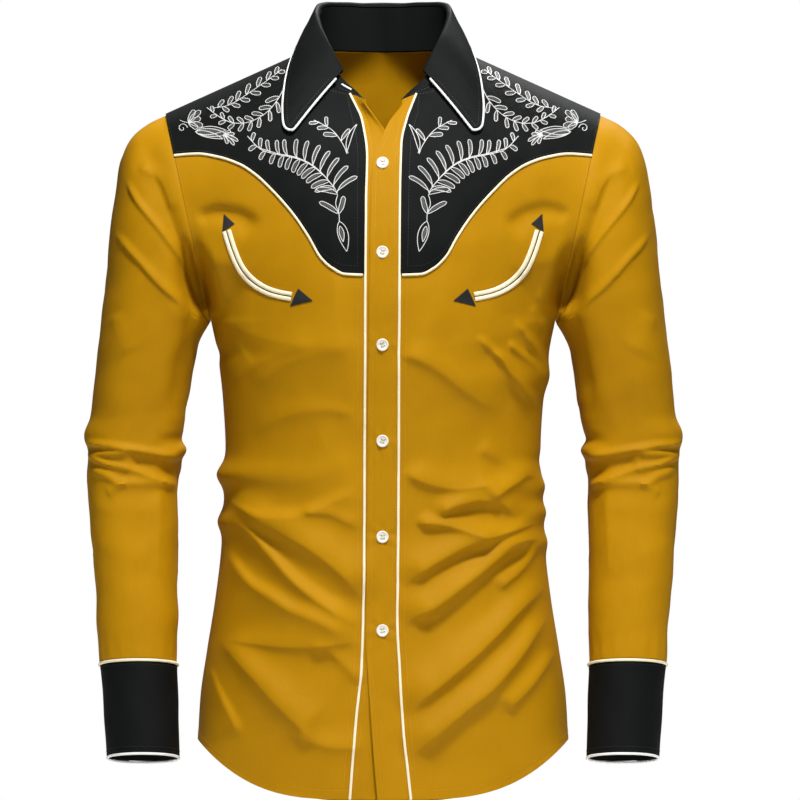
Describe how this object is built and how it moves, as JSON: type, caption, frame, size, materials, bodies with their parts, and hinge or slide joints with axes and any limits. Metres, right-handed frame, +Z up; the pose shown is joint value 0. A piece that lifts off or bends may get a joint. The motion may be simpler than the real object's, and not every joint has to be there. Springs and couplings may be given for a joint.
{
  "type": "western shirt",
  "caption": "Long-sleeved western shirt with contrasting pointed yokes, collar and cuffs, piped edges and smile pockets, filled out as if worn.",
  "frame": {"origin": "the middle of the neck opening, where the wearer holds the shirt up", "axes": "+X to the wearer's left, -Y out of the front, +Z up"},
  "size_m": [0.6046, 0.236, 0.8047],
  "materials": {
    "mustard_cloth": "smooth plain-weave shirting with a soft sheen",
    "black_cloth": "smooth black plain-weave shirting, white embroidery on the front yokes",
    "cream_piping": "cream piping cloth",
    "white_piping": "white piping cloth",
    "button": "off-white moulded button, glossy"
  },
  "bodies": {
    "root": {"front_left": "mustard_cloth", "front_right": "mustard_cloth", "back": "mustard_cloth", "placket_left": "mustard_cloth", "placket_right": "mustard_cloth", "sleeve_left": "mustard_cloth", "sleeve_right": "mustard_cloth", "sleeve_band_left": "mustard_cloth", "sleeve_band_right": "mustard_cloth", "yoke_front_left": "black_cloth", "yoke_front_right": "black_cloth", "yoke_back": "black_cloth", "collar_stand": "black_cloth", "collar_leaf": "black_cloth", "cuff_left": "black_cloth", "cuff_right": "black_cloth", "arrow_left_upper": "black_cloth", "arrow_left_lower": "black_cloth", "arrow_right_upper": "black_cloth", "arrow_right_lower": "black_cloth", "piping_front_left": "cream_piping", "piping_front_right": "cream_piping", "piping_yoke_left": "cream_piping", "piping_yoke_right": "cream_piping", "piping_yoke_back": "cream_piping", "piping_cuff_top_left": "cream_piping", "piping_cuff_top_right": "cream_piping", "welt_left_upper": "cream_piping", "welt_left_lower": "cream_piping", "welt_right_upper": "cream_piping", "welt_right_lower": "cream_piping", "piping_collar": "white_piping", "piping_cuff_bottom_left": "white_piping", "piping_cuff_bottom_right": "white_piping", "button_1": "button", "button_2": "button", "button_3": "button", "button_4": "button", "button_5": "button", "button_6": "button", "button_cuff_left": "button", "button_cuff_right": "button"}
  },
  "joints": []
}
